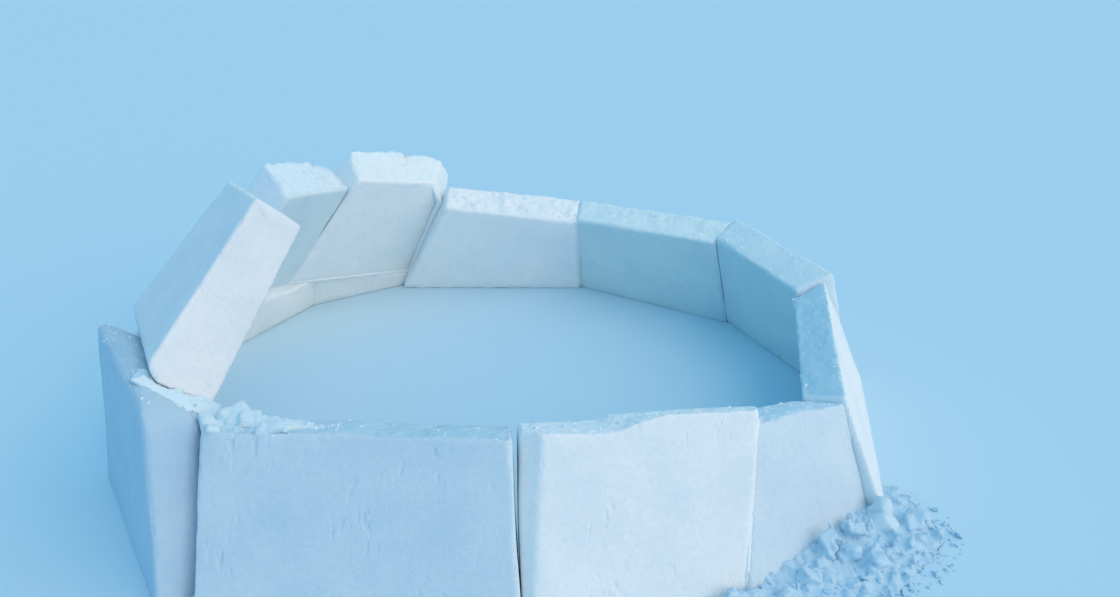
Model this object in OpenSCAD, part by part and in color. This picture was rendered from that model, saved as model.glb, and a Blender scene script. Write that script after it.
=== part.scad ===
// Part-built snow igloo: a closed ring of leaning snow blocks, the rising bed
// cut across its left side, and the first three blocks of the spiral wall.
// The origin is the middle of the wall's outline on the ground, +Y is the back.

/* [Ring of blocks] */
// Radius of the circle on which the outer faces stand, at the ground
ring_r = 1495; // [1250:5:1800]
// Thickness of a first-course block, square to its leaning face
wall_t = 176; // [130:1:230]
// Height of a first-course block, measured up its leaning face
course_h = 550; // [450:5:660]
// Lean of the first course towards the middle, in degrees
course_lean = 20; // [14:1:24]

/* [Spiral wall] */
// Height of a spiral block, measured up its leaning face
spiral_h = 590; // [440:5:720]
// Thickness of a spiral block, square to its leaning face
spiral_t = 170; // [130:1:210]
// Length of the first spiral block along its foot
first_l = 830; // [690:5:1000]
// Length of the second spiral block along its foot
second_l = 479; // [390:5:580]
// Length of the third spiral block along its foot
third_l = 733; // [600:5:880]
// Height of the rising bed under the first spiral block's low end
ramp_start_z = 132; // [108:1:160]
// Radius of the third spiral block's rounded outer foot
foot_round = 75; // [30:5:100]

/* [Pared places] */
// Width pared off the front right block's face at the gaping joint, at its top
pared_high = 112; // [40:1:150]
// Width pared off there at the ground
pared_low = 26; // [5:1:35]
// How much higher the front right block's top stands towards the corner
shoulder_h = 34; // [10:1:50]

/* [Fits] */
// Clearance left where two blocks meet or one stands on another
seat_gap = 0.3; // [0.2:0.1:0.8]
// Angle by which an ordinary upright joint opens towards its top, in degrees
joint_open = 0.5; // [0.2:0.1:1.2]
// Angle by which the gaping joint at the front opens, in degrees
front_open = 2.4; // [0.5:0.1:4]

/* [Loose snow] */
// Size of the larger lump lying at the foot of the wall, half way across
lump_r = 55; // [30:1:80]
// Height of the heap of trimmings on top of the front left block
heap_h = 26; // [15:1:40]

/* [Hidden] */
$fn = 48;

// Edge of the cubes that stand for half-spaces, longer than the whole ring
reach = 3 * ring_r;
// How far a slab runs past its joints before they cut it
over = 0.3 * ring_r;
// How deep a slab runs below the ground before it is cut level
sunk = 2 * wall_t;
// The ring circle's own middle, a little off the middle of the uneven outline
ring_mid = [-6, -38, 0];

// The first course, anticlockwise from the front left. Each block has the place
// of its outer foot at its start and end as millimetres outside the ring circle,
// its extra lean in degrees, its extra height at its start and end, its extra
// thickness, and how much its top steps up on the way to its end.
front_left = 0;
front_right = 1;
front_corner = 2;
right = 3;
back_right = 4;
back_middle = 5;
back_left = 6;
ramp_low = 7;
ramp_middle = 8;
ramp_high = 9;
left = 10;
COURSE = [
    [-3, -80, 0, -36, 12, 0, 0],
    [-75, -55, 0, 27, -32, 0, shoulder_h],
    [-35, 35, 1, -28, -138, 0, 0],
    [85, 56, 4, -114, -20, -40, 0],
    [20, 20, -2, -26, 19, 0, 0],
    [-20, -10, 1, 16, -21, 0, 0],
    [-35, 90, 1, -24, 128, 20, 0],
    [90, 110, 0, 0, 0, 0, 0],
    [110, 90, 0, 0, 0, 0, 0],
    [90, 10, 0, 0, 0, 0, 0],
    [-15, 73, -13, 29, 42, 0, 0],
];

// Each upright joint at the start of a block has its azimuth from +X, the plan
// direction in which it is cut, its distance outside the ring circle, and the
// angle by which it opens towards the top.
JOINTS = [
    [233.9, 266, -3, 0],
    [271.6, 271, -25, front_open],
    [297.2, 256, -25, joint_open],
    [321, 311, -25, joint_open],
    [361.4, 374, -25, joint_open],
    [393, 407, -25, joint_open],
    [431.3, 438.5, -25, joint_open],
    [473, 480, -25, joint_open],
    [494, 492, -25, joint_open],
    [527, 524, -25, joint_open],
    [560.5, 560, -25, joint_open],
    [592.3, 596, 73, 12],
];

// Where a top that steps up begins and ends its step, as shares of the block's foot
step_start = 0.48;
step_end = 0.73;
// How steeply the higher stretch falls inwards, in degrees
shoulder_fall = 7;
// How deep the pared place at the gaping joint reaches, as a share of its width
pared_depth = 1.1;

// The spiral blocks, in the order in which they are set. Each has the azimuth of
// its outer foot at its low end, that foot's distance outside the leaning face of
// the ring, its height, the way its outer face looks, its lean, the slope of its
// bed, its length, its thickness, the slant of its two ends as a share of the
// height, the turn of its low end from square, how much higher its outer top edge
// is than its inner one, how much its top rises more than its bed, and how much
// thicker its foot is than its top.
first = 0;
second = 1;
third = 2;
SPIRAL = [
    [108.4, 129, ramp_start_z, 125.3, 26, 10, first_l, spiral_t - 7, 0.05, 0.31, -36, 65, 45, 0],
    [141.1, 110, ramp_start_z + 153, 148.3, 32, 10.6, second_l, spiral_t + 15, 0.4, 0.14, 0, 50, 0, 0],
    [191.1, -7, course_h - 78, 200.4, 37.5, 8.4, third_l, spiral_t - 10, -0.12, 0.24, 0, 8, 0, 58],
];

// How far below its outer top edge the first block's low top corner is cut, and how steeply
low_corner_drop = 77;
low_corner_steep = 57;
// Where the second block's top falls away towards the first: its distance below the
// full height, its shift outwards, its slope along the block and its slope through the wall
fall_drop = 26;
fall_out = 52;
fall_along = 0.24;
fall_through = 0.15;

snow = [0.86, 0.92, 0.97];
loose_snow = [0.93, 0.96, 0.99];

// Level step in a direction given as an azimuth
function polar(azimuth, distance) = [distance * cos(azimuth), distance * sin(azimuth), 0];

// Point on the ground at an azimuth and a distance outside the ring circle
function ring_point(azimuth, outside) = ring_mid + polar(azimuth, ring_r + outside);

function foot_start(b) = ring_point(JOINTS[b][0], COURSE[b][0]);
function foot_end(b) = ring_point(JOINTS[b + 1][0], COURSE[b][1]);
function heading(b) = atan2((foot_end(b) - foot_start(b)).y, (foot_end(b) - foot_start(b)).x);
function foot_run(b) = norm(foot_end(b) - foot_start(b));
function thickness(b) = wall_t + COURSE[b][5];

// Rise of a block's top over its length
function top_rise(b) = (COURSE[b][4] - COURSE[b][3]) / foot_run(b);

// A half-space: everything above the XY plane
module above() {
    translate([-reach, -reach, 0]) cube(2 * reach);
}

// Everything on the clockwise side of a joint, or with side = -1 the other side;
// it begins half a clearance before the joint's middle plane, or at another place
module past_joint(j, side, begins = -seat_gap / 2) {
    translate(ring_point(JOINTS[j][0], JOINTS[j][2]))
        rotate([0, 0, JOINTS[j][1]])
            rotate([90 * side - side * JOINTS[j][3] / 2, 0, 0])
                translate([0, 0, begins]) above();
}

// Frame of a first-course block: X along its outer foot, Y through the wall, Z up its face
module on_course(b) {
    translate(foot_start(b))
        rotate([0, 0, heading(b)])
            rotate([-(course_lean + COURSE[b][2]), 0, 0]) children();
}

// Point on a block's straight top at a distance along its foot, or that much above it
function top_point(b, along, up = 0) = [along, course_h + COURSE[b][3] + top_rise(b) * along + up];

// Rise of a stepped top above the straight one; it goes on past the step, to be cut off there
function step_up(b, along) = COURSE[b][6] * (along / foot_run(b) - step_start) / (step_end - step_start);

// Outline of a first-course block's face, running past both joints and the ground
module course_outline(b) {
    far_edge = foot_run(b) + over;
    polygon(concat(
        [[-over, -sunk], [far_edge, -sunk], top_point(b, far_edge, step_up(b, far_edge))],
        COURSE[b][6] == 0 ? [] : [top_point(b, step_start * foot_run(b))],
        [top_point(b, -over)]
    ));
}

// A leaning slab that runs past its joints, cut level at the ground; skin makes it thicker
module course_slab(b, skin = 0) {
    intersection() {
        on_course(b) translate([0, thickness(b) + skin, 0]) rotate([90, 0, 0])
            linear_extrude(thickness(b) + 2 * skin) course_outline(b);
        above();
    }
}

// A first-course block between its two joints
module course_block(b) {
    difference() {
        course_slab(b);
        past_joint(b, 1);
        past_joint(b + 1, -1);
    }
}

// Frame of a spiral block: X along its foot, Y through the wall, Z up its face
module on_spiral(s) {
    outside = SPIRAL[s][1] - SPIRAL[s][2] * tan(course_lean);
    translate(ring_point(SPIRAL[s][0], outside) + [0, 0, SPIRAL[s][2]])
        rotate([0, 0, SPIRAL[s][3] + 90])
            rotate([-SPIRAL[s][4], 0, 0])
                rotate([0, -SPIRAL[s][5], 0]) children();
}

// Everything on the clockwise side of a spiral block's low end, or with side = -1
// the other side
module past_start(s, side) {
    on_spiral(s) rotate([0, 0, SPIRAL[s][10]])
        rotate([0, -90 * side - atan(SPIRAL[s][8]), 0]) translate([0, 0, -seat_gap / 2]) above();
}

// Everything past a spiral block's high end, or with side = -1 the other side
module past_end(s, side) {
    on_spiral(s) translate([SPIRAL[s][6], 0, 0])
        rotate([0, 90 * side - atan(SPIRAL[s][9]), 0]) translate([0, 0, -seat_gap / 2]) above();
}

function spiral_tall(s) = spiral_h + SPIRAL[s][11];
function top_fall(s) = atan(SPIRAL[s][11] / SPIRAL[s][7]);

// A spiral block: a slab with slanting ends and a top that falls inwards
module spiral_block(s) {
    run = SPIRAL[s][6];
    thick = SPIRAL[s][7];
    flare = SPIRAL[s][13];
    difference() {
        on_spiral(s) difference() {
            translate([-over, -flare, seat_gap])
                cube([run + 2 * over, thick + flare, 2 * spiral_tall(s)]);
            translate([0, 0, spiral_tall(s)])
                rotate([-top_fall(s), -atan(SPIRAL[s][12] / run), 0]) above();
            if (flare > 0) translate([0, -flare, 0])
                rotate([90 - atan(flare / spiral_tall(s)), 0, 0]) above();
        }
        past_start(s, 1);
        past_end(s, 1);
    }
}

// Cuts the outer foot of a spiral block to a quarter round
module rounded_foot(s) {
    run = SPIRAL[s][6] + 2 * over;
    on_spiral(s) translate([-over, foot_round - SPIRAL[s][13], foot_round]) difference() {
        translate([0, -2 * foot_round, -2 * foot_round]) cube([run, 2 * foot_round, 2 * foot_round]);
        rotate([0, 90, 0]) cylinder(r = foot_round, h = run);
    }
}

// Laps in front of the left block's end, with its back corner pared to fit round it
module front_left_block() {
    color(snow) difference() {
        course_block(front_left);
        difference() {
            course_slab(left, seat_gap);
            past_joint(left + 1, -1, seat_gap / 2);
        }
    }
}

// Its top steps up towards the corner and falls inwards there, and its end is pared back
// from the face where the joint gapes, most at the top
module front_right_block() {
    color(snow) difference() {
        course_block(front_right);
        on_course(front_right) translate([0, 0, top_point(front_right, 0, shoulder_h).y])
            rotate([0, -atan(top_rise(front_right)), 0]) rotate([-shoulder_fall, 0, 0]) above();
        on_course(front_right) translate([pared_low, 0, 0])
            rotate([0, atan((pared_high - pared_low) / course_h), 0])
                rotate([0, 0, atan(1 / pared_depth)]) rotate([0, -90, 0]) above();
    }
}

module front_corner_block() {
    color(snow) course_block(front_corner);
}

module right_block() {
    color(snow) course_block(right);
}

module back_right_block() {
    color(snow) course_block(back_right);
}

module back_middle_block() {
    color(snow) course_block(back_middle);
}

// The last full block: its far end is cut slanting, for the first spiral block to lean on
module back_left_block() {
    color(snow) difference() {
        course_slab(back_left);
        past_joint(back_left, 1);
        past_start(first, -1);
    }
}

// The thin end of the rising bed, under the first spiral block
module ramp_block_low() {
    color(snow) difference() {
        course_slab(ramp_low);
        past_start(first, 1);
        past_joint(ramp_low + 1, -1);
        on_spiral(first) above();
    }
}

// The bed under the first spiral block's high end and the whole second block
module ramp_block_middle() {
    color(snow) difference() {
        course_block(ramp_middle);
        intersection() {
            on_spiral(first) above();
            past_end(first, -1);
        }
        intersection() {
            on_spiral(second) above();
            past_end(first, 1);
        }
    }
}

// The bed rises on here past the second block, and carries the third block's low end
module ramp_block_high() {
    color(snow) difference() {
        course_block(ramp_high);
        intersection() {
            on_spiral(second) above();
            on_spiral(third) above();
        }
    }
}

// Full height at the outside, bevelled inside where the third spiral block stands
module left_block() {
    color(snow) difference() {
        course_block(left);
        on_spiral(third) above();
    }
}

// Its top corner over the low end is cut away
module spiral_block_first() {
    color(snow) difference() {
        spiral_block(first);
        on_spiral(first) rotate([0, 0, SPIRAL[first][10]])
            translate([0, 0, spiral_tall(first) - low_corner_drop])
                rotate([-top_fall(first) * cos(SPIRAL[first][10]), 0, 0])
                    rotate([0, -low_corner_steep, 0]) above();
    }
}

// Cut on the first block's high end, so that the two close face to face; its top falls
// away towards that joint
module spiral_block_second() {
    color(snow) difference() {
        spiral_block(second);
        past_end(first, -1);
        on_spiral(first) translate([SPIRAL[first][6], 0, 0]) rotate([0, -atan(SPIRAL[first][9]), 0])
            translate([0, -fall_out, spiral_h - fall_drop])
                rotate([atan(fall_through), -atan(fall_along), 0]) above();
    }
}

module spiral_block_third() {
    color(snow) difference() {
        spiral_block(third);
        rounded_foot(third);
    }
}

// Snow pared off the third spiral block, heaped on the front left block's top
module trimmings_on_top() {
    crest = course_h + COURSE[front_left][3] + seat_gap;
    ball_r = 2 * heap_h;
    color(loose_snow) on_course(front_left) translate([ball_r, thickness(front_left) / 2, crest])
        rotate([0, -atan(top_rise(front_left)), 0]) intersection() {
            for (i = [0:3])
                translate([ball_r * (i + 0.2), -ball_r * (i % 2) / 4, -heap_h * (0.5 + 0.2 * i)])
                    sphere(r = ball_r);
            translate([0, 0, ball_r * top_rise(front_left)]) above();
        }
}

// A broken lump of snow with flat faces
module lump(size, turn) {
    intersection() {
        rotate([turn, 35, 0]) cube(size, center = true);
        rotate([0, turn + 20, 50]) cube(1.1 * size, center = true);
    }
}

// Two lumps broken off the wall, packed into the corner where the right block stands out
// past the front corner block: the larger lies on the ground, the smaller rests on it
module fallen_lumps() {
    slip = (COURSE[front_corner][1] - JOINTS[right][2]) * sin(JOINTS[right][0] - JOINTS[right][1]);
    corner = foot_end(front_corner) - polar(heading(front_corner), slip);
    color(loose_snow) difference() {
        intersection() {
            union() {
                translate(corner + polar(heading(front_corner) - 120, 0.72 * lump_r) + [0, 0, 0.6 * lump_r])
                    lump(1.8 * lump_r, 15);
                translate(corner + polar(heading(front_corner) - 105, 0.5 * lump_r) + [0, 0, 1.7 * lump_r])
                    lump(lump_r, 50);
            }
            above();
            past_joint(right, 1, seat_gap / 2);
        }
        course_slab(front_corner, seat_gap);
    }
}

front_left_block();
front_right_block();
front_corner_block();
right_block();
back_right_block();
back_middle_block();
back_left_block();
ramp_block_low();
ramp_block_middle();
ramp_block_high();
left_block();
spiral_block_first();
spiral_block_second();
spiral_block_third();
trimmings_on_top();
fallen_lumps();
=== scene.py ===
import math
import random

import bmesh
import bpy
from mathutils import Euler, Matrix, Vector


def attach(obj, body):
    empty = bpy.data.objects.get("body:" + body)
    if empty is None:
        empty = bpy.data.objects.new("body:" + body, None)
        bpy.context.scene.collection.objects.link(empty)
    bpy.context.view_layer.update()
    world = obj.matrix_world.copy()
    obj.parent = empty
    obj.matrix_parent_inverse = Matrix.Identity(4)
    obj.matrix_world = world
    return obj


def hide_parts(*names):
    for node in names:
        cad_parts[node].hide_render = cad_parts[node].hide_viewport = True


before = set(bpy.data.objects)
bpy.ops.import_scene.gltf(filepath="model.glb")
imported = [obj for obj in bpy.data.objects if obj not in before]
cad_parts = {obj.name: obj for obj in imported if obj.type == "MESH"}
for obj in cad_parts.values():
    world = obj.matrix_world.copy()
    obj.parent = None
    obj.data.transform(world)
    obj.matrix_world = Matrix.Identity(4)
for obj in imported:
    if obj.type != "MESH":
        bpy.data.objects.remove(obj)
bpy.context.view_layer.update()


# Camera
# It stands at eye height in front of the wall and looks down into the ring. Its
# place and its lens were solved from the ring's own corners in the photograph.
picture_w = 1120
focal_px = 851
look_down = math.radians(22.18)
look_right = math.radians(4.02)
head_tilt = math.radians(-0.12)
camera_data = bpy.data.cameras.new("camera")
camera_data.sensor_width = 36
camera_data.lens = camera_data.sensor_width * focal_px / picture_w
camera_data.clip_end = 200
camera = bpy.data.objects.new("camera", camera_data)
camera.location = (0.0081, -3.1891, 1.7105)
camera.rotation_euler = Euler((math.pi / 2 - look_down, head_tilt, -look_right))
bpy.context.collection.objects.link(camera)
bpy.context.scene.camera = camera


# Floor and light
# A plain pale floor that runs past the camera's view, one broad soft lamp at the
# front right, and a surround that fills the shadows. The lamp is warm and the
# surround is blue, to come near the photograph's colours, so white renders bluish.
floor_half = 60
floor_mesh = bpy.data.meshes.new("floor")
floor_corners = [(-floor_half, -floor_half, 0), (floor_half, -floor_half, 0),
                 (floor_half, floor_half, 0), (-floor_half, floor_half, 0)]
floor_mesh.from_pydata(floor_corners, [], [(0, 1, 2, 3)])
floor = bpy.data.objects.new("floor", floor_mesh)
bpy.context.collection.objects.link(floor)
floor_paint = bpy.data.materials.new("floor_paint")
floor_paint.use_nodes = True
floor_shader = floor_paint.node_tree.nodes["Principled BSDF"]
floor_shader.inputs["Base Color"].default_value = (0.58, 0.78, 0.88, 1)
floor_shader.inputs["Roughness"].default_value = 0.9
floor_mesh.materials.append(floor_paint)

lamp_data = bpy.data.lights.new("studio_lamp", "SUN")
lamp_data.energy = 1.95
lamp_data.color = (1.0, 0.68, 0.43)
lamp_data.angle = math.radians(90)
towards_lamp = Vector((0.69, -0.49, 0.53))
lamp = bpy.data.objects.new("studio_lamp", lamp_data)
lamp.rotation_euler = towards_lamp.to_track_quat("Z", "Y").to_euler()
bpy.context.collection.objects.link(lamp)

# The camera sees the surround at full strength, and the snow gets a little less of it.
surround = bpy.data.worlds.new("surround")
surround.use_nodes = True
around = surround.node_tree
around.nodes["Background"].inputs["Color"].default_value = (0.26, 0.67, 1.0, 1)
light_path = around.nodes.new("ShaderNodeLightPath")
strength = around.nodes.new("ShaderNodeMapRange")
strength.inputs["To Min"].default_value = 0.83
strength.inputs["To Max"].default_value = 1
around.links.new(light_path.outputs["Is Camera Ray"], strength.inputs["Value"])
around.links.new(strength.outputs["Result"], around.nodes["Background"].inputs["Strength"])
bpy.context.scene.world = surround
bpy.context.scene.view_settings.view_transform = "Standard"


# Front wall
# Two long blocks of wind-packed snow and a slanted one at the corner, cut out of the
# snow, stood on edge and leaned inwards. Their faces are pared flat and keep the cuts'
# scores, and their tops were trimmed by hand and are crumbly.


def put_on(tree, kind, inputs=None, **settings):
    """A node of that kind with its settings made and its inputs set or linked."""
    node = tree.nodes.new(kind)
    for name, value in settings.items():
        setattr(node, name, value)
    for key, value in (inputs or {}).items():
        if isinstance(value, bpy.types.NodeSocket):
            tree.links.new(value, node.inputs[key])
        else:
            node.inputs[key].default_value = value
    return node


def number(tree, operation, a, b=None, c=None, clamp=False):
    """The output of a Math node."""
    inputs = {i: v for i, v in enumerate((a, b, c)) if v is not None}
    return put_on(tree, "ShaderNodeMath", inputs, operation=operation, use_clamp=clamp).outputs[0]


def vector(tree, operation, a, b=None, scale=None):
    """The vector output of a Vector Math node."""
    inputs = {i: v for i, v in enumerate((a, b)) if v is not None}
    if scale is not None:
        inputs["Scale"] = scale
    return put_on(tree, "ShaderNodeVectorMath", inputs, operation=operation).outputs["Vector"]


def between(tree, value, low, high, to_low=0.0, to_high=1.0, smooth=True):
    """The output of a Map Range node from low..high to to_low..to_high."""
    inputs = {"Value": value, "From Min": low, "From Max": high, "To Min": to_low, "To Max": to_high}
    curve = "SMOOTHSTEP" if smooth else "LINEAR"
    return put_on(tree, "ShaderNodeMapRange", inputs, interpolation_type=curve).outputs["Result"]


def add_sockets(tree, numbers, inputs=(), outputs=()):
    """Gives a tree its named inputs and outputs and returns its inputs."""
    for name, kind in inputs:
        tree.interface.new_socket(name, in_out="INPUT", socket_type="NodeSocket" + kind)
    for name, value in numbers:
        kind = "Vector" if isinstance(value, tuple) else "Float"
        socket = tree.interface.new_socket(name, in_out="INPUT", socket_type="NodeSocket" + kind)
        socket.default_value = value
    for name, kind in outputs:
        tree.interface.new_socket(name, in_out="OUTPUT", socket_type="NodeSocket" + kind)
    return tree.nodes.new("NodeGroupInput").outputs


def make_weathering():
    """Geometry Nodes tree that turns a plain block into hand-cut snow, with painted light and shade for its
    sides, its inner side and its top.
    """
    tree = bpy.data.node_groups.new("hand_cut_snow", "GeometryNodeTree")
    # The colour inputs for the sides, the inner side and the top are painted light and shade, as factors on
    # the snow's colour.
    given = add_sockets(
        tree,
        [("Edge rounding", 0.35), ("Top rounding", 0.5), ("Waviness", 0.003), ("Facets", 0.0045),
         ("Crumbling", 0.006), ("Chipping", 0.5), ("Swelling", 0.0012), ("Top slope", 0.62),
         ("Top unevenness", 0.003), ("Rounding steps", 26.0), ("Worn spot", (0.0, 0.0, 0.0)),
         ("Worn reach", 0.01), ("Tone", (1.0, 1.0, 1.0)), ("Inner tone", (1.06, 1.0, 0.965)),
         ("Top tone", (1.0, 1.0, 1.0)), ("Seed", 0.0)],
        [("Geometry", "Geometry"), ("Snow", "Material")], [("Geometry", "Geometry")])

    place = put_on(tree, "GeometryNodeInputPosition").outputs[0]
    facing = put_on(tree, "GeometryNodeInputNormal").outputs[0]
    shift = put_on(tree, "ShaderNodeCombineXYZ", {0: given["Seed"], 1: given["Seed"]}).outputs[0]
    spot = vector(tree, "ADD", place, shift)

    def rough(scale, detail=2.0, roughness=0.5, low=-1.0):
        """Noise from low to 1 over the block."""
        inputs = {"Vector": spot, "Scale": scale, "Detail": detail, "Roughness": roughness}
        noise = put_on(tree, "ShaderNodeTexNoise", inputs).outputs["Fac"]
        return between(tree, noise, 0.30, 0.70, low, 1.0, smooth=False)

    def blurred(value, times, kind="FLOAT_VECTOR"):
        """The value smoothed over its neighbours that many times."""
        inputs = {"Value": value, "Iterations": times}
        return put_on(tree, "GeometryNodeBlurAttribute", inputs, data_type=kind).outputs[0]

    # Masks for the top, the side towards the middle and the places clear of the ground. The side towards
    # the middle only places the inner side's painted light and shade.
    near_steps = 5
    top_fade = 0.24
    ground_band = 0.03
    soft_facing = blurred(facing, near_steps)
    upwards = put_on(tree, "ShaderNodeSeparateXYZ", {0: soft_facing}).outputs["Z"]
    height = put_on(tree, "ShaderNodeSeparateXYZ", {0: place}).outputs["Z"]
    slope_end = number(tree, "ADD", given["Top slope"], top_fade)
    top = between(tree, upwards, given["Top slope"], slope_end)
    above_ground = between(tree, height, 0.0, ground_band)
    to_middle = vector(tree, "NORMALIZE", vector(tree, "MULTIPLY", place, (-1.0, -1.0, 0.0)))
    inwards_facing = put_on(tree, "ShaderNodeVectorMath", {0: soft_facing, 1: to_middle},
                            operation="DOT_PRODUCT").outputs["Value"]
    inner = between(tree, inwards_facing, 0.35, 0.85)

    # One spot of the block may be worn rounder than the rest
    from_spot = put_on(tree, "ShaderNodeVectorMath", {0: place, 1: given["Worn spot"]},
                       operation="DISTANCE").outputs["Value"]
    worn_core = number(tree, "MULTIPLY", given["Worn reach"], 0.3)
    worn = between(tree, from_spot, worn_core, given["Worn reach"], 1.0, 0.0)

    # Arrises and top drawn in towards the mean place of the skin round them
    near_pull = vector(tree, "SUBTRACT", blurred(place, near_steps), place)
    far_pull = vector(tree, "SUBTRACT", blurred(place, given["Rounding steps"]), place)
    near_length = put_on(tree, "ShaderNodeVectorMath", {0: near_pull}, operation="LENGTH").outputs["Value"]
    arris = between(tree, near_length, 0.0006, 0.0035)
    chips = between(tree, rough(9.0, 4.0, 0.6), 0.2, 0.8)
    far_share = number(tree, "MULTIPLY", blurred(top, 8, "FLOAT"), given["Top rounding"])
    far_share = number(tree, "MULTIPLY", far_share, rough(4.5, 3.0, 0.55, 0.1))
    far_share = number(tree, "ADD", far_share, worn, clamp=True)
    near_share = number(tree, "MULTIPLY_ADD", chips, given["Chipping"], given["Edge rounding"])
    near_share = number(tree, "MULTIPLY", near_share, number(tree, "SUBTRACT", 1.0, far_share))
    pull = vector(tree, "SCALE", near_pull, scale=near_share)
    pull = vector(tree, "ADD", pull, vector(tree, "SCALE", far_pull, scale=far_share))
    pull = vector(tree, "SCALE", pull, scale=above_ground)

    # Slow waves, and the slightly hollow flats that paring leaves, on every face
    waves = number(tree, "MULTIPLY", rough(2.4, 1.0), given["Waviness"])
    slanted = put_on(tree, "ShaderNodeVectorRotate", {"Vector": spot, "Rotation": (0.5, 0.6, 0.3)},
                     rotation_type="EULER_XYZ").outputs[0]
    slanted = vector(tree, "MULTIPLY", slanted, (1.0, 1.0, 0.5))
    flats = put_on(tree, "ShaderNodeTexVoronoi", {"Vector": slanted, "Scale": 6.5, "Smoothness": 0.35},
                   feature="SMOOTH_F1").outputs["Distance"]
    flats = number(tree, "MULTIPLY", number(tree, "SUBTRACT", flats, 0.4), given["Facets"])

    # Grains and lumps broken out of the top, the arrises and the worn spot
    lumps_per_m = 30.0
    grains_per_m = 75.0
    cells, small_cells = [put_on(tree, "ShaderNodeTexVoronoi", {"Vector": spot, "Scale": scale},
                                 feature="F1").outputs["Distance"] for scale in (lumps_per_m, grains_per_m)]
    broken = number(tree, "SUBTRACT", number(tree, "MULTIPLY", rough(13.0, 5.0, 0.65), 0.9), cells)
    broken = number(tree, "MULTIPLY_ADD", small_cells, -0.35, broken)
    patch = between(tree, rough(3.6, 2.0), -0.5, 0.5, 0.25, 1.0)
    where_broken = number(tree, "MAXIMUM", top, number(tree, "MULTIPLY", arris, 0.35))
    where_broken = number(tree, "MULTIPLY_ADD", worn, 0.3, where_broken)
    broken = number(tree, "MULTIPLY", broken, number(tree, "MULTIPLY", patch, where_broken))
    broken = number(tree, "MULTIPLY", broken, given["Crumbling"])
    humps = number(tree, "MULTIPLY", rough(8.0, 2.0), top)
    humps = number(tree, "MULTIPLY", humps, given["Top unevenness"])
    waves = number(tree, "ADD", waves, humps)
    out = number(tree, "ADD", waves, flats)
    out = number(tree, "ADD", out, number(tree, "ADD", broken, given["Swelling"]))
    out = number(tree, "MULTIPLY", out, above_ground)
    offset = vector(tree, "ADD", vector(tree, "SCALE", facing, scale=out), pull)

    # What the snow material reads: how crumbled, how near an arris, and the painted light and shade, mixed
    # from the sides', the inner side's and the top's
    tone = put_on(tree, "ShaderNodeMix", {"Factor": inner, 4: given["Tone"], 5: given["Inner tone"]},
                  data_type="VECTOR").outputs[1]
    tone = put_on(tree, "ShaderNodeMix", {"Factor": top, 4: tone, 5: given["Top tone"]},
                  data_type="VECTOR").outputs[1]
    shape = given["Geometry"]
    marks = (("crumbled", top, "FLOAT"), ("arris", arris, "FLOAT"), ("tone", tone, "FLOAT_VECTOR"))
    for name, value, kind in marks:
        inputs = {"Geometry": shape, "Name": name, "Value": value}
        shape = put_on(tree, "GeometryNodeStoreNamedAttribute", inputs, data_type=kind,
                       domain="POINT").outputs[0]
    shape = put_on(tree, "GeometryNodeSetPosition", {"Geometry": shape, "Offset": offset}).outputs[0]
    shape = put_on(tree, "GeometryNodeSetShadeSmooth", {"Geometry": shape}).outputs[0]
    shape = put_on(tree, "GeometryNodeRealizeInstances", {"Geometry": shape}).outputs[0]
    shape = put_on(tree, "GeometryNodeSetMaterial",
                   {"Geometry": shape, "Material": given["Snow"]}).outputs[0]
    put_on(tree, "NodeGroupOutput", {"Geometry": shape})
    return tree


def make_snow_grain():
    """Shader group: the grain and the scores of cut snow, and its mottle of pale and deep."""
    tree = bpy.data.node_groups.new("snow_grain", "ShaderNodeTree")
    given = add_sockets(tree, [("Grain", 1.0), ("Scores", 0.5), ("Crumbled", 0.0)],
                        outputs=[("Height", "Float"), ("Mottle", "Float")])
    where = put_on(tree, "ShaderNodeTexCoord").outputs["Object"]

    def noise(place, scale, detail, roughness=0.5):
        """Plain noise at the place."""
        inputs = {"Vector": place, "Scale": scale, "Detail": detail, "Roughness": roughness}
        return put_on(tree, "ShaderNodeTexNoise", inputs).outputs["Fac"]

    # Grain, coarser where the snow is crumbled
    coarse_share = number(tree, "MULTIPLY_ADD", given["Crumbled"], 1.1, 0.5)
    fine = number(tree, "MULTIPLY", noise(where, 220.0, 3.0, 0.65), 0.5)
    grain = number(tree, "MULTIPLY_ADD", noise(where, 55.0, 4.0, 0.6), coarse_share, fine)
    height = number(tree, "MULTIPLY", grain, given["Grain"])

    # Scores on cut faces in three slants, each with its turn, stretch, pitch and shift
    cut_face = number(tree, "SUBTRACT", 1.0, given["Crumbled"], clamp=True)
    slants = ((0.06, 0.05, 44.0, 3.1), (0.65, 0.08, 34.0, 7.7), (-0.5, 0.06, 38.0, 1.9))
    for turn, stretch, pitch, seed in slants:
        inputs = {"Vector": where, "Location": (seed, seed, 0.0), "Rotation": (0.0, turn, 0.0),
                  "Scale": (1.0, 1.0, stretch)}
        path = put_on(tree, "ShaderNodeMapping", inputs).outputs[0]
        stroke = between(tree, noise(path, pitch, 1.0, 0.4), 0.58, 0.80)
        shifted = put_on(tree, "ShaderNodeMapping", {"Vector": where, "Location": (seed, 0.0, seed)})
        where_scored = between(tree, noise(shifted.outputs[0], 5.0, 1.0), 0.52, 0.66)
        stroke = number(tree, "MULTIPLY", stroke, where_scored)
        stroke = number(tree, "MULTIPLY", stroke, cut_face)
        height = number(tree, "MULTIPLY_ADD", stroke, given["Scores"], height)

    speckle = number(tree, "MULTIPLY", noise(where, 60.0, 3.0, 0.6), 0.4)
    mottle = number(tree, "MULTIPLY_ADD", noise(where, 5.0, 5.0, 0.55), 0.6, speckle)
    put_on(tree, "NodeGroupOutput", {"Height": height, "Mottle": mottle})
    return tree


snow_grain = make_snow_grain()
hand_cut_snow = make_weathering()


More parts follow.
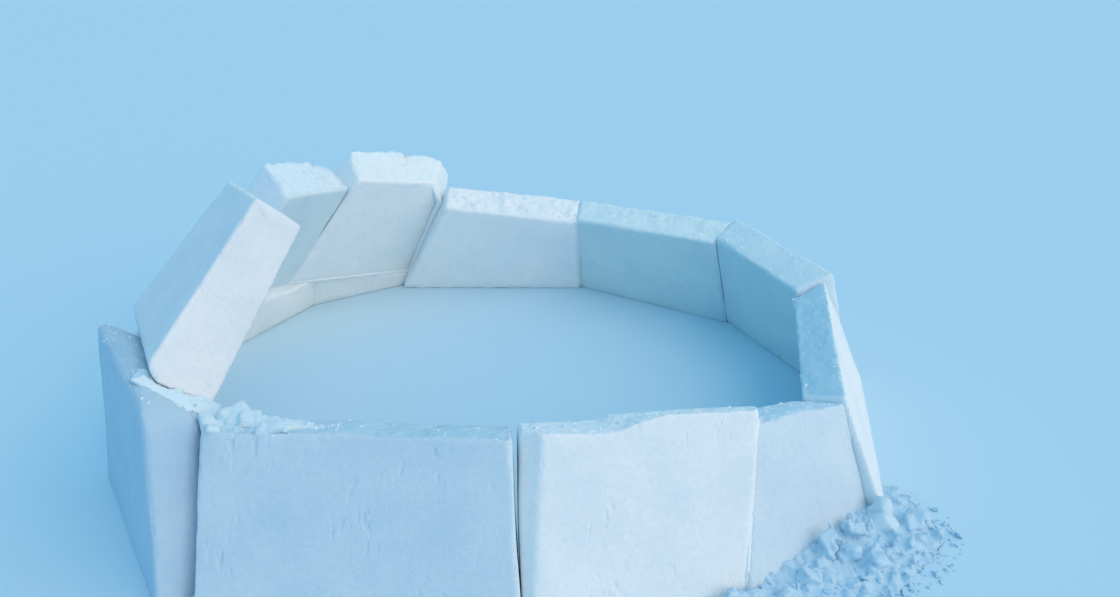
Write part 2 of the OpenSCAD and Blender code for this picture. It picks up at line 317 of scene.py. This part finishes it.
def make_snow(name, pale, deep, grain=1.0, scores=-1.0, glow=0.4):
    """Snow material: from deep to pale by its mottle, its crumbling and a painted highlight on its arrises,
    times the piece's painted light and shade.
    """
    material = bpy.data.materials.new(name)
    material.use_nodes = True
    tree = material.node_tree
    shader = tree.nodes["Principled BSDF"]
    crumbled = put_on(tree, "ShaderNodeAttribute", attribute_name="crumbled").outputs["Fac"]
    arris = put_on(tree, "ShaderNodeAttribute", attribute_name="arris").outputs["Fac"]
    painted_tone_of_piece = put_on(tree, "ShaderNodeAttribute", attribute_name="tone").outputs["Vector"]
    texture = put_on(tree, "ShaderNodeGroup", {"Grain": grain, "Scores": scores, "Crumbled": crumbled},
                     node_tree=snow_grain)
    tone = between(tree, texture.outputs["Mottle"], 0.36, 0.64)
    tone = number(tree, "MAXIMUM", tone, number(tree, "MULTIPLY", crumbled, 0.9))
    # Arrises are painted paler: a painted highlight for the light that glows through thin edges of snow.
    tone = number(tree, "ADD", tone, number(tree, "MULTIPLY", arris, 0.25), clamp=True)
    shade = put_on(tree, "ShaderNodeMix", {"Factor": tone, "A": (*deep, 1), "B": (*pale, 1)},
                   data_type="RGBA").outputs["Result"]
    # The piece's painted light and shade multiplies the colour.
    tree.links.new(vector(tree, "MULTIPLY", shade, painted_tone_of_piece), shader.inputs["Base Color"])
    shader.inputs["Roughness"].default_value = 0.85
    shader.inputs["Specular IOR Level"].default_value = 0.25
    shader.inputs["Subsurface Weight"].default_value = glow
    shader.inputs["Subsurface Radius"].default_value = (0.9, 0.95, 1.0)
    shader.inputs["Subsurface Scale"].default_value = 0.006
    bump = put_on(tree, "ShaderNodeBump",
                  {"Height": texture.outputs["Height"], "Strength": 0.7, "Distance": 0.004})
    tree.links.new(bump.outputs["Normal"], shader.inputs["Normal"])
    return material


packed_snow = make_snow("packed_snow", pale=(0.82, 0.90, 0.95), deep=(0.74, 0.84, 0.915))


def set_inputs(modifier, **values):
    """Sets a Geometry Nodes modifier's inputs by the names in its tree, spaces as underscores."""
    for item in modifier.node_group.interface.items_tree:
        if item.item_type == "SOCKET" and item.in_out == "INPUT":
            key = item.name.replace(" ", "_")
            if key in values:
                modifier[item.identifier] = values[key]


def settled(carrier):
    """The plain mesh that an object's modifiers make of it; the object itself goes."""
    mesh = bpy.data.meshes.new_from_object(carrier.evaluated_get(bpy.context.evaluated_depsgraph_get()))
    bpy.data.objects.remove(carrier)
    return mesh


def worn_skin(piece, snow, voxel, **wear):
    """Adds the remeshed skin and the wear to a blank and returns the finished mesh."""
    skin = piece.modifiers.new("skin", "REMESH")
    skin.mode = "VOXEL"
    skin.voxel_size = voxel
    worn = piece.modifiers.new("worn", "NODES")
    worn.node_group = hand_cut_snow
    set_inputs(worn, Snow=snow, **wear)
    return settled(piece)


def carried(name, mesh):
    """A new object that carries the mesh."""
    piece = bpy.data.objects.new(name, mesh)
    bpy.context.collection.objects.link(piece)
    return piece


def cut_block(node, voxel=0.0085, pared=(), slot="packed_snow", snow=packed_snow, **wear):
    """A worn block in the CAD node's place, remeshed to one skin with cells of voxel size.

    Each plane that it is pared along is a point on the plane and its way out. The wear goes
    to the inputs of the weathering tree.
    """
    blank = bmesh.new()
    blank.from_mesh(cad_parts[node].data)
    same_place = 1e-5
    flat_angle = 0.005
    bmesh.ops.remove_doubles(blank, verts=blank.verts, dist=same_place)
    bmesh.ops.dissolve_limit(blank, angle_limit=flat_angle, verts=blank.verts, edges=blank.edges)
    for spot, away in pared:
        everything = blank.verts[:] + blank.edges[:] + blank.faces[:]
        cut = bmesh.ops.bisect_plane(blank, geom=everything, plane_co=spot, plane_no=away, clear_outer=True)
        rim = [part for part in cut["geom_cut"] if isinstance(part, bmesh.types.BMEdge)]
        bmesh.ops.edgeloop_fill(blank, edges=rim)
    mesh = bpy.data.meshes.new(node + "_blank")
    blank.to_mesh(mesh)
    blank.free()
    block = carried("snow_" + node, worn_skin(carried(node + "_blank", mesh), snow, voxel, **wear))
    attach(block, "root")
    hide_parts(node)
    return block


# The front left block's free end is cut back to a plane, given by a point and its way out.
left_end_of_wall = ((-0.885, -1.244, 0.0), (-0.9966, 0.0, 0.0827))
# Painted shade for the inner sides of the front left and left blocks: darker and bluer than the snow.
left_inner_painted_shade = (0.84, 0.90, 0.92)
# The blocks' tones are painted light and shade: the front left and corner blocks are painted darker and
# bluer, the front right one lighter and warmer, and each top apart.
front_wall = [
    cut_block("front_left_block", voxel=0.007, pared=[left_end_of_wall], Crumbling=0.009,
              Top_rounding=0.7, Top_unevenness=0.004, Worn_spot=(-0.72, -1.10, 0.50), Worn_reach=0.20,
              Tone=(0.84, 0.88, 0.90), Inner_tone=left_inner_painted_shade, Top_tone=(0.74, 0.86, 0.89),
              Seed=3.0),
    cut_block("front_right_block", voxel=0.0065, Crumbling=0.008, Chipping=0.6,
              Worn_spot=(0.27, -1.21, 0.53), Worn_reach=0.09, Tone=(1.10, 1.01, 0.96),
              Top_tone=(1.10, 1.06, 1.01), Seed=7.0),
    cut_block("front_corner_block", voxel=0.0065, Crumbling=0.009, Top_rounding=0.8,
              Worn_spot=(0.78, -1.06, 0.46), Worn_reach=0.08, Tone=(0.84, 0.87, 0.89),
              Top_tone=(0.84, 0.92, 0.95), Seed=11.0),
]


# Left block
# The end block of packed snow at the left front. Its top was cut as part of the
# spiral's bed, its outer end was pared down, and its corner is worn round.
pared_top_end = ((-0.915, -1.097, 0.537), (0.514, 0.1375, 0.8466))
# Its tones are painted shade: its sides, its inner side and its top are all painted darker and bluer than
# the snow.
left_wall = [
    cut_block("left_block", voxel=0.0075, pared=[pared_top_end], Crumbling=0.006, Top_rounding=1.0,
              Worn_spot=(-0.95, -1.17, 0.40), Worn_reach=0.50, Rounding_steps=70.0,
              Tone=(0.60, 0.73, 0.82), Inner_tone=left_inner_painted_shade, Top_tone=(0.62, 0.75, 0.82),
              Seed=15.0),
]


# Right and back blocks
# Four more blocks of the first course, cut out of packed snow and set as the front ones
# are. Their tones are painted light and shade: the right one's inner side is painted in
# the deepest blue shade, and the back left one's inner side and top are painted lighter.
back_wall = [
    cut_block("right_block", Crumbling=0.004, Top_rounding=0.4, Tone=(1.06, 1.01, 0.97),
              Inner_tone=(0.47, 0.76, 0.82), Top_tone=(0.66, 0.84, 0.89), Seed=19.0),
    cut_block("back_right_block", Crumbling=0.003, Top_rounding=0.3, Tone=(0.90, 0.93, 0.94),
              Inner_tone=(0.74, 0.87, 0.87), Top_tone=(0.88, 0.95, 0.94), Seed=23.0),
    cut_block("back_middle_block", Crumbling=0.005, Top_rounding=0.5, Inner_tone=(0.86, 0.94, 0.91),
              Top_tone=(1.02, 1.05, 0.98), Seed=27.0),
    cut_block("back_left_block", Crumbling=0.008, Top_rounding=1.0, Top_unevenness=0.006,
              Inner_tone=(1.18, 1.09, 1.03), Top_tone=(1.17, 1.08, 1.02), Seed=31.0),
]


# Blocks under the spiral
# Three low blocks of the first course, of packed snow, whose tops were sliced off to one
# rising bed once they stood. The highest one's outer foot corner was pared flush.
# Painted light for the bed blocks' inner sides: paler and warmer than the snow.
bed_inner_painted_light = (1.13, 1.045, 0.98)
high_foot_corner = ((-1.392, -0.556, 0.0), (-0.854, -0.505, 0.122))
bed_blocks = [
    cut_block("ramp_block_low", Crumbling=0.004, Inner_tone=bed_inner_painted_light, Seed=35.0),
    cut_block("ramp_block_middle", Crumbling=0.004, Inner_tone=bed_inner_painted_light, Seed=39.0),
    cut_block("ramp_block_high", pared=[high_foot_corner], Crumbling=0.004,
              Inner_tone=bed_inner_painted_light, Seed=43.0),
]


# Spiral wall
# Three blocks of packed snow that stand on the sloping bed and lean further in. The
# first two lean on each other's ends and are rougher on top, as they aren't trimmed yet.
untrimmed = dict(voxel=0.0075, Crumbling=0.013, Top_rounding=0.8, Chipping=0.7, Top_slope=0.40)
# The blocks' tones are painted light and shade: the first is painted lighter and warmer, the second's inner
# side and top a little darker, and the third warmer in red.
spiral_wall = [
    cut_block("spiral_block_first", **untrimmed, Top_unevenness=0.010, Rounding_steps=60.0,
              Worn_spot=(-0.285, 1.25, 0.73), Worn_reach=0.22, Tone=(1.10, 1.05, 1.0),
              Inner_tone=(1.14, 1.06, 0.99), Top_tone=(1.03, 1.03, 1.01), Seed=47.0),
    cut_block("spiral_block_second", **untrimmed, Top_unevenness=0.008, Rounding_steps=50.0,
              Worn_spot=(-0.871, 0.743, 0.834), Worn_reach=0.16, Inner_tone=(0.89, 0.92, 0.89),
              Top_tone=(0.92, 0.97, 0.98), Seed=51.0),
    cut_block("spiral_block_third", voxel=0.0075, Crumbling=0.003, Top_rounding=0.3, Chipping=0.25,
              Waviness=0.002, Top_slope=0.76, Tone=(1.05, 0.96, 0.92), Seed=55.0),
]


# Trimmings on the front wall
# Snow that was pared off the blocks' tops. It lies loose and crumbled on the front left
# block's top, in a heap that runs out to crumbs.
loose_snow = make_snow("loose_snow", pale=(0.83, 0.91, 0.95), deep=(0.68, 0.82, 0.92), grain=0.7,
                       scores=0.0, glow=0.0)


def make_strewing():
    """Geometry Nodes tree that strews angular bits of snow over the upward faces of a carrier."""
    tree = bpy.data.node_groups.new("strewn_snow", "GeometryNodeTree")
    given = add_sockets(
        tree,
        [("Bits per m2", 2500.0), ("Smallest", 0.002), ("Largest", 0.008), ("Even size", 3.0),
         ("Patchiness", 0.8), ("Level from", 0.61), ("Ground", -1.0), ("With bed", 0.0),
         ("Tone", (1.0, 1.0, 1.0)), ("Seed", 0.0)],
        [("Geometry", "Geometry"), ("Snow", "Material")], [("Geometry", "Geometry")])

    def chance(low, high, seed):
        """A random number for each point, or a random vector where low is one."""
        kind, first, result = ("FLOAT_VECTOR", 0, 0) if isinstance(low, tuple) else ("FLOAT", 2, 1)
        inputs = {first: low, first + 1: high, "Seed": seed}
        return put_on(tree, "FunctionNodeRandomValue", inputs, data_type=kind).outputs[result]

    # Points on the faces that are level enough, in drifts
    place = put_on(tree, "GeometryNodeInputPosition").outputs[0]
    facing = put_on(tree, "GeometryNodeInputNormal").outputs[0]
    upwards = put_on(tree, "ShaderNodeSeparateXYZ", {0: facing}).outputs["Z"]
    steep_end = number(tree, "ADD", given["Level from"], 0.05)
    level = between(tree, upwards, given["Level from"], steep_end)
    drift = put_on(tree, "ShaderNodeTexNoise",
                   {"Vector": place, "Scale": 5.0, "Detail": 3.0}).outputs["Fac"]
    drift = between(tree, drift, 0.44, 0.60, number(tree, "SUBTRACT", 1.0, given["Patchiness"]), 1.0)
    thickness = number(tree, "MULTIPLY", given["Bits per m2"], number(tree, "MULTIPLY", level, drift))
    points = put_on(tree, "GeometryNodeDistributePointsOnFaces",
                    {"Mesh": given["Geometry"], "Density": thickness,
                     "Seed": given["Seed"]}).outputs["Points"]

    # A jagged lump or slab at each point, more small ones than large
    size = number(tree, "POWER", chance(0.0, 1.0, 1), given["Even size"])
    spread = number(tree, "SUBTRACT", given["Largest"], given["Smallest"])
    size = number(tree, "MULTIPLY_ADD", size, spread, given["Smallest"])
    kinds = tree.nodes.new("GeometryNodeGeometryToInstance")
    lump = put_on(tree, "GeometryNodeMeshIcoSphere", {"Radius": 1.0, "Subdivisions": 1}).outputs["Mesh"]
    slab = put_on(tree, "GeometryNodeMeshCube", {"Size": (1.7, 1.4, 1.2)}).outputs["Mesh"]
    for kind in (lump, slab):
        tree.links.new(kind, kinds.inputs[0])
    stretch = chance((0.6, 0.5, 0.35), (1.5, 1.1, 0.9), 2)
    turn = chance((-0.9, -0.9, 0.0), (0.9, 0.9, 6.28), 3)
    stored = put_on(tree, "GeometryNodeStoreNamedAttribute",
                    {"Geometry": points, "Name": "bit_size", "Value": size},
                    data_type="FLOAT", domain="POINT").outputs[0]
    known_size = put_on(tree, "GeometryNodeInputNamedAttribute", {"Name": "bit_size"},
                        data_type="FLOAT").outputs[0]
    scale = vector(tree, "SCALE", stretch, scale=known_size)
    strewn = put_on(tree, "GeometryNodeInstanceOnPoints",
                    {"Points": stored, "Instance": kinds.outputs[0], "Pick Instance": True,
                     "Rotation": turn, "Scale": scale}).outputs[0]
    shape = put_on(tree, "GeometryNodeRealizeInstances", {"Geometry": strewn}).outputs[0]
    jag_share = 0.28
    jag = chance((-1.0, -1.0, -1.0), (1.0, 1.0, 1.0), 4)
    jag = vector(tree, "SCALE", jag, scale=number(tree, "MULTIPLY", known_size, jag_share))
    shape = put_on(tree, "GeometryNodeSetPosition", {"Geometry": shape, "Offset": jag}).outputs[0]

    # The bed may stay under the bits, and nothing goes below the ground
    now = put_on(tree, "ShaderNodeSeparateXYZ", {0: put_on(tree, "GeometryNodeInputPosition").outputs[0]})
    bed = put_on(tree, "GeometryNodeSwitch", {"Switch": given["With bed"], "True": given["Geometry"]},
                 input_type="GEOMETRY").outputs[0]
    heap = tree.nodes.new("GeometryNodeJoinGeometry")
    for part in (shape, bed):
        tree.links.new(part, heap.inputs[0])
    rest_z = number(tree, "MAXIMUM", now.outputs["Z"], given["Ground"])
    rested = put_on(tree, "ShaderNodeCombineXYZ",
                    {0: now.outputs["X"], 1: now.outputs["Y"], 2: rest_z}).outputs[0]
    shape = put_on(tree, "GeometryNodeSetPosition",
                   {"Geometry": heap.outputs[0], "Position": rested}).outputs[0]
    shape = put_on(tree, "GeometryNodeSetShadeSmooth",
                   {"Geometry": shape, "Shade Smooth": False}).outputs[0]
    # Each strewn piece's tone is its painted light and shade, for the snow material to multiply.
    shape = put_on(tree, "GeometryNodeStoreNamedAttribute",
                   {"Geometry": shape, "Name": "tone", "Value": given["Tone"]},
                   data_type="FLOAT_VECTOR", domain="POINT").outputs[0]
    shape = put_on(tree, "GeometryNodeSetMaterial",
                   {"Geometry": shape, "Material": given["Snow"]}).outputs[0]
    put_on(tree, "NodeGroupOutput", {"Geometry": shape})
    return tree


strewn_snow = make_strewing()


def strew(name, mesh, skin=None, wear=None, **amounts):
    """Loose snow strewn over the mesh; with a skin size the bits are pressed into one heap."""
    piece = carried(name + "_bed", mesh)
    bits = piece.modifiers.new("bits", "NODES")
    bits.node_group = strewn_snow
    set_inputs(bits, Snow=loose_snow, **amounts)
    made = worn_skin(piece, loose_snow, skin, **(wear or {})) if skin else settled(piece)
    loose = carried(name, made)
    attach(loose, "root")


def mound(name, sections, lumps=()):
    """A closed low ridge through sections of back, crest, front and under points.

    Each lump set in it is an uneven block, given by its middle, half sizes and turn.
    """
    ridge = bmesh.new()
    rings = [[ridge.verts.new(point) for point in section] for section in sections]
    for this, after in zip(rings, rings[1:]):
        for i in range(4):
            j = (i + 1) % 4
            ridge.faces.new((this[i], this[j], after[j], after[i]))
    ridge.faces.new(rings[0])
    ridge.faces.new(rings[-1])
    lump_seed = 7
    shortest = 0.65
    longest = 1.15
    chance = random.Random(lump_seed)
    for middle, half, turn in lumps:
        place = Matrix.Translation(middle) @ Euler(turn).to_matrix().to_4x4()
        for corner in bmesh.ops.create_cube(ridge, size=2)["verts"]:
            uneven = [side * length * chance.uniform(shortest, longest)
                      for side, length in zip(corner.co, half)]
            corner.co = place @ Vector(uneven)
    bmesh.ops.recalc_face_normals(ridge, faces=ridge.faces)
    mesh = bpy.data.meshes.new(name)
    ridge.to_mesh(mesh)
    ridge.free()
    return mesh


# Painted shade for the trimmings: a little darker and bluer than the snow.
trimmings_painted_shade = (0.84, 0.91, 0.93)
cut_block("trimmings_on_top", voxel=0.004, slot="loose_snow", snow=loose_snow, Crumbling=0.006,
          Chipping=0.5, Top_slope=0.3, Edge_rounding=0.6, Tone=trimmings_painted_shade, Top_tone=trimmings_painted_shade,
          Seed=80.0)

# The front left block's top: its left end and its length, where its back and its front
# arris start there, how far each comes forward over that length, and their common climb.
top_left_x = -0.845
top_length = 0.864
back_arris_y = -0.905
back_arris_z = 0.424
back_arris_run = -0.184
front_arris_y = -1.060
front_arris_z = 0.460
front_arris_run = -0.186
arris_climb = 0.043

# Where the heap is narrow it keeps to this share of the top's width from the back. Its crest
# stands a little higher and further out than halfway, and its bed sinks into the block.
heap_axis = 0.6
crest_lift = 0.011
crest_shift = 0.004
bed_depth = 0.03

# Places along the heap: its rise there, its spill over the front arris, and the share of
# the top's width that it covers
heap = [(-0.850, 0.010, 0.002, 1.0), (-0.800, 0.026, 0.008, 1.0), (-0.755, 0.034, 0.010, 1.0),
        (-0.700, 0.030, 0.008, 1.0), (-0.655, 0.024, 0.010, 0.95), (-0.610, 0.018, 0.006, 0.8),
        (-0.560, 0.010, 0.0, 0.55), (-0.500, 0.004, 0.0, 0.15)]
trimmings = []
for x, rise, spill, width in heap:
    along = (x - top_left_x) / top_length
    climb = arris_climb * along
    back = Vector((x, back_arris_y + back_arris_run * along, back_arris_z + climb))
    front = Vector((x, front_arris_y + front_arris_run * along - spill, front_arris_z + climb))
    middle = back.lerp(front, heap_axis)
    back = middle.lerp(back, width)
    front = middle.lerp(front, width)
    crest = back.lerp(front, 0.5) + Vector((0, -crest_shift, rise + crest_lift))
    under = back.lerp(front, 0.5) - Vector((0, 0, bed_depth))
    trimmings.append((back, crest, front, under))

# Larger pieces in the heap, each by its middle, half sizes and turn
pared_off = [((-0.840, -1.022, 0.478), (0.022, 0.030, 0.012), (0.3, 0.2, 0.5)),
             ((-0.812, -1.072, 0.476), (0.018, 0.014, 0.010), (0.2, 0.4, 0.2)),
             ((-0.775, -0.990, 0.480), (0.044, 0.026, 0.012), (0.1, -0.1, 0.7)),
             ((-0.720, -1.030, 0.490), (0.034, 0.030, 0.011), (0.2, 0.1, 0.3)),
             ((-0.655, -1.095, 0.488), (0.040, 0.018, 0.012), (0.2, -0.1, 0.1)),
             ((-0.600, -1.085, 0.488), (0.030, 0.024, 0.009), (0.2, 0.1, 0.9))]
heap_wear = dict(Edge_rounding=0.9, Top_rounding=0.0, Crumbling=0.005, Chipping=0.1,
                 Top_unevenness=0.004, Top_slope=0.2, Tone=trimmings_painted_shade, Top_tone=trimmings_painted_shade,
                 Seed=93.0)
strew("trimmings_heap", mound("trimmings", trimmings, pared_off), skin=0.0045, wear=heap_wear,
      Bits_per_m2=4000.0, Smallest=0.004, Largest=0.011, Even_size=1.8, Patchiness=0.7, Level_from=0.2,
      With_bed=1.0, Seed=2)
# The crumbs are painted a touch bluer, as painted shade.
strew("trimmings_crumbs", mound("crumbs", trimmings), Bits_per_m2=4000.0, Smallest=0.0015, Largest=0.008,
      Even_size=3.0, Patchiness=0.9, Level_from=0.2, Tone=(0.95, 0.98, 1.0), Seed=8)


# Broken snow at the foot
# Snow that was cut off the blocks and fell outside the right front corner: two larger
# lumps, a bank of broken snow against the wall, and chips on it and on the ground.
# Painted shade for the lumps: darker and bluer than the snow.
lumps_painted_shade = (0.79, 0.89, 0.92)
cut_block("fallen_lumps", voxel=0.004, slot="loose_snow", snow=loose_snow, Crumbling=0.004,
          Chipping=0.4, Top_slope=0.3, Tone=lumps_painted_shade, Top_tone=lumps_painted_shade, Seed=83.7)

# Places along the bank: where it meets the wall, how high it rises there, and its outer rim
foot = [(0.560, -1.325, 0.010, 0.600, -1.372), (0.640, -1.300, 0.030, 0.680, -1.420),
        (0.740, -1.258, 0.040, 0.800, -1.425), (0.840, -1.192, 0.046, 0.930, -1.395),
        (0.990, -1.085, 0.062, 1.100, -1.325), (1.120, -0.995, 0.075, 1.250, -1.210),
        (1.200, -0.960, 0.070, 1.370, -1.100), (1.235, -0.860, 0.030, 1.385, -0.950),
        (1.255, -0.780, 0.010, 1.330, -0.800)]

# The bank's crest lies between them, nearer the wall, at a share of the rise there.
wall_share = 0.6
rim_share = 0.4
crest_height = 0.62
rubble = []
for back_x, back_y, rise, front_x, front_y in foot:
    crest_x = wall_share * back_x + rim_share * front_x
    crest_y = wall_share * back_y + rim_share * front_y
    crest = (crest_x, crest_y, crest_height * rise)
    rubble.append(((back_x, back_y, rise), crest, (front_x, front_y, 0.0), (back_x, back_y, 0.0)))

# Larger pieces in the bank, each by its middle, half sizes and turn
fallen = [((0.655, -1.362, 0.030), (0.080, 0.030, 0.030), (0.3, 0.1, 0.3)),
          ((0.775, -1.335, 0.026), (0.032, 0.020, 0.020), (0.4, 0.3, 0.9)),
          ((0.865, -1.275, 0.036), (0.030, 0.024, 0.022), (0.2, 0.5, 0.2)),
          ((0.945, -1.185, 0.062), (0.012, 0.030, 0.036), (0.3, 0.5, 0.5)),
          ((1.005, -1.195, 0.048), (0.036, 0.022, 0.018), (0.2, -0.3, 0.4)),
          ((1.085, -1.215, 0.036), (0.040, 0.036, 0.032), (0.5, 0.4, 0.7)),
          ((1.060, -1.110, 0.072), (0.028, 0.020, 0.018), (0.6, 0.2, 0.1)),
          ((1.205, -1.135, 0.036), (0.032, 0.026, 0.024), (0.3, 0.7, 1.2)),
          ((1.275, -1.045, 0.036), (0.034, 0.024, 0.026), (0.7, 0.2, 0.3)),
          ((1.285, -0.930, 0.026), (0.026, 0.022, 0.018), (0.2, 0.4, 0.8))]
# Painted shade for the bank and the chips: much darker and bluer than the snow.
rubble_painted_shade = (0.65, 0.80, 0.89)
rubble_wear = dict(Edge_rounding=0.15, Top_rounding=0.0, Crumbling=0.003, Chipping=0.1,
                   Top_unevenness=0.0, Top_slope=0.1, Tone=rubble_painted_shade, Top_tone=rubble_painted_shade,
                   Seed=90.0)
strew("rubble_at_the_foot", mound("rubble", rubble, fallen), skin=0.0045, wear=rubble_wear,
      Bits_per_m2=2600.0, Smallest=0.006, Largest=0.026, Even_size=2.2, Patchiness=0.4, Level_from=0.2,
      Ground=0.0, With_bed=1.0)
strew("chips_at_the_foot", mound("chips", rubble), Bits_per_m2=5000.0, Smallest=0.002, Largest=0.016,
      Even_size=3.0, Patchiness=0.6, Level_from=0.2, Ground=0.0, Tone=rubble_painted_shade, Seed=5)

# Chips on the ground lie from just inside the bank's rim to twice as far outside it.
rim_reach = 0.035
rim_lift = 0.001
spread = []
for back_x, back_y, rise, front_x, front_y in foot:
    outwards = Vector((front_x - back_x, front_y - back_y, 0.0)).normalized() * rim_reach
    rim = Vector((front_x, front_y, rim_lift))
    spread.append((rim - outwards, rim, rim + 2 * outwards, rim - Vector((0, 0, rim_lift))))
strew("chips_on_the_ground", mound("spread", spread), Bits_per_m2=2600.0, Smallest=0.002, Largest=0.016,
      Even_size=2.6, Patchiness=0.6, Level_from=0.5, Ground=0.0, Tone=rubble_painted_shade, Seed=11)


# Snow at the third spiral block's foot
# Soft snow that was packed by hand against the foot of the block that stands on the
# left block's top. It is a thin uneven fringe of pressed crumbs.


def left_block_top(x, y):
    """Height of the left block's top over a point: the bed's plane, or the pared end's if lower."""
    bed_plane = ((-0.847, -1.010, 0.495), (0.505, 0.299, 0.809))
    heights = []
    for (at_x, at_y, at_z), (away_x, away_y, away_z) in (bed_plane, pared_top_end):
        heights.append(at_z - (away_x * (x - at_x) + away_y * (y - at_y)) / away_z)
    return min(heights)


# Places along the foot: the fringe's rise there and how far it reaches out. It runs
# along the block's front and round its outer corner, on to the block's side.
outer_corner_x = -0.99
way_from_front = (0.020, -0.055)
way_from_side = (-0.045, -0.020)
seat = [(-0.845, -0.900, 0.006, 1.3), (-0.872, -0.918, 0.010, 1.6), (-0.900, -0.930, 0.006, 1.0),
        (-0.930, -0.942, 0.008, 1.4), (-0.972, -0.952, 0.004, 0.7), (-1.008, -0.945, 0.007, 1.1),
        (-1.045, -0.880, 0.004, 0.5)]
third_foot = []
for x, y, rise, reach in seat:
    way_x, way_y = way_from_front if x > outer_corner_x else way_from_side
    out_x = way_x * reach
    out_y = way_y * reach
    # Each point's share of the reach, and its lift above the block's top
    back = (-0.2, rise)
    crest = (0.35, 0.5 * rise + 0.001)
    front = (1.0, -0.014)
    under = (0.0, -0.030)
    section = []
    for share, lift in (back, crest, front, under):
        spot_x = x + share * out_x
        spot_y = y + share * out_y
        section.append((spot_x, spot_y, left_block_top(spot_x, spot_y) + lift))
    third_foot.append(section)
# Painted shade for the fringe: a little darker and bluer than the snow.
fringe_painted_shade = (0.87, 0.94, 0.96)
fringe_wear = dict(Edge_rounding=0.5, Top_rounding=0.0, Crumbling=0.006, Chipping=0.2, Top_slope=0.2,
                   Tone=fringe_painted_shade, Top_tone=fringe_painted_shade, Seed=99.0)
strew("crumbs_at_the_third_block", mound("third_foot", third_foot), skin=0.004, wear=fringe_wear,
      Bits_per_m2=5000.0, Smallest=0.003, Largest=0.010, Even_size=1.8, Patchiness=0.8, Level_from=0.1,
      With_bed=1.0, Seed=4)


# Snow rubbed into the joints
# Soft snow that was pressed by hand into the creases between blocks and along the
# spiral's bed, where it closes the gaps and sets hard.


def rubbed_in(name, creases, skin=0.004):
    """A thin roll along each crease, from its start to its end radius, all in one worn skin."""
    rolls = bmesh.new()
    for start, end, radius, last_radius in creases:
        along = Vector(end) - Vector(start)
        middle = Matrix.Translation((Vector(start) + Vector(end)) / 2)
        turn = along.to_track_quat("Z", "Y").to_matrix().to_4x4()
        bmesh.ops.create_cone(rolls, cap_ends=True, segments=10, radius1=radius, radius2=last_radius,
                              depth=along.length, matrix=middle @ turn)
    mesh = bpy.data.meshes.new(name)
    rolls.to_mesh(mesh)
    rolls.free()
    # The rolls are painted a little lighter and warmer, as painted light.
    tone = (1.06, 1.04, 1.0)
    worn = worn_skin(carried(name + "_rolls", mesh), packed_snow, skin, Waviness=0.0015, Facets=0.0,
                     Crumbling=0.003, Chipping=0.2, Edge_rounding=0.1, Top_unevenness=0.001, Tone=tone,
                     Top_tone=tone)
    fill = carried(name, worn)
    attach(fill, "root")


# Each crease's two ends, and the roll's radius at each of them
joints = {
    "front right to corner, foot": ((0.676, -1.307, 0.004), (0.684, -1.261, 0.113), 0.008, 0.008),
    "front right to corner": ((0.684, -1.261, 0.113), (0.734, -1.075, 0.452), 0.008, 0.008),
    "back left to first spiral": ((-0.509, 1.250, 0.075), (-0.314, 1.122, 0.505), 0.010, 0.016),
    "upper end of the same": ((-0.314, 1.122, 0.505), (-0.342, 1.068, 0.600), 0.016, 0.004),
    "bed under first spiral": ((-0.515, 1.259, 0.084), (-1.052, 0.815, 0.194), 0.010, 0.010),
    "bed under second spiral": ((-1.052, 0.815, 0.194), (-1.252, 0.398, 0.266), 0.010, 0.010),
    "back left to back middle": ((0.425, 1.156, 0.004), (0.390, 0.980, 0.430), 0.007, 0.007),
    "back middle to back right": ((1.110, 0.637, 0.004), (0.987, 0.506, 0.466), 0.007, 0.007),
    "back right to right": ((1.352, -0.030, 0.004), (1.180, -0.076, 0.412), 0.012, 0.012),
    "low to middle bed block": ((-0.990, 0.978, 0.004), (-0.945, 0.928, 0.170), 0.006, 0.006),
    "middle to high bed block": ((-1.360, 0.270, 0.004), (-1.267, 0.244, 0.246), 0.006, 0.006),
    "first to second spiral": ((-1.050, 0.815, 0.190), (-0.683, 0.790, 0.680), 0.006, 0.006),
}
rubbed_in("snow_rubbed_into_the_joints", joints.values())


# Crumbs on the tops
# Small crumbs of snow that trimming left loose on every top but the third spiral
# block's, which is too narrow and steep to hold them.
tops = bmesh.new()
for block in front_wall + left_wall + back_wall + bed_blocks + spiral_wall[:2]:
    tops.from_mesh(block.data)
all_tops = bpy.data.meshes.new("all_tops")
tops.to_mesh(all_tops)
tops.free()
strew("crumbs_on_the_tops", all_tops, Bits_per_m2=1800.0, Smallest=0.0015, Largest=0.0075, Seed=6)
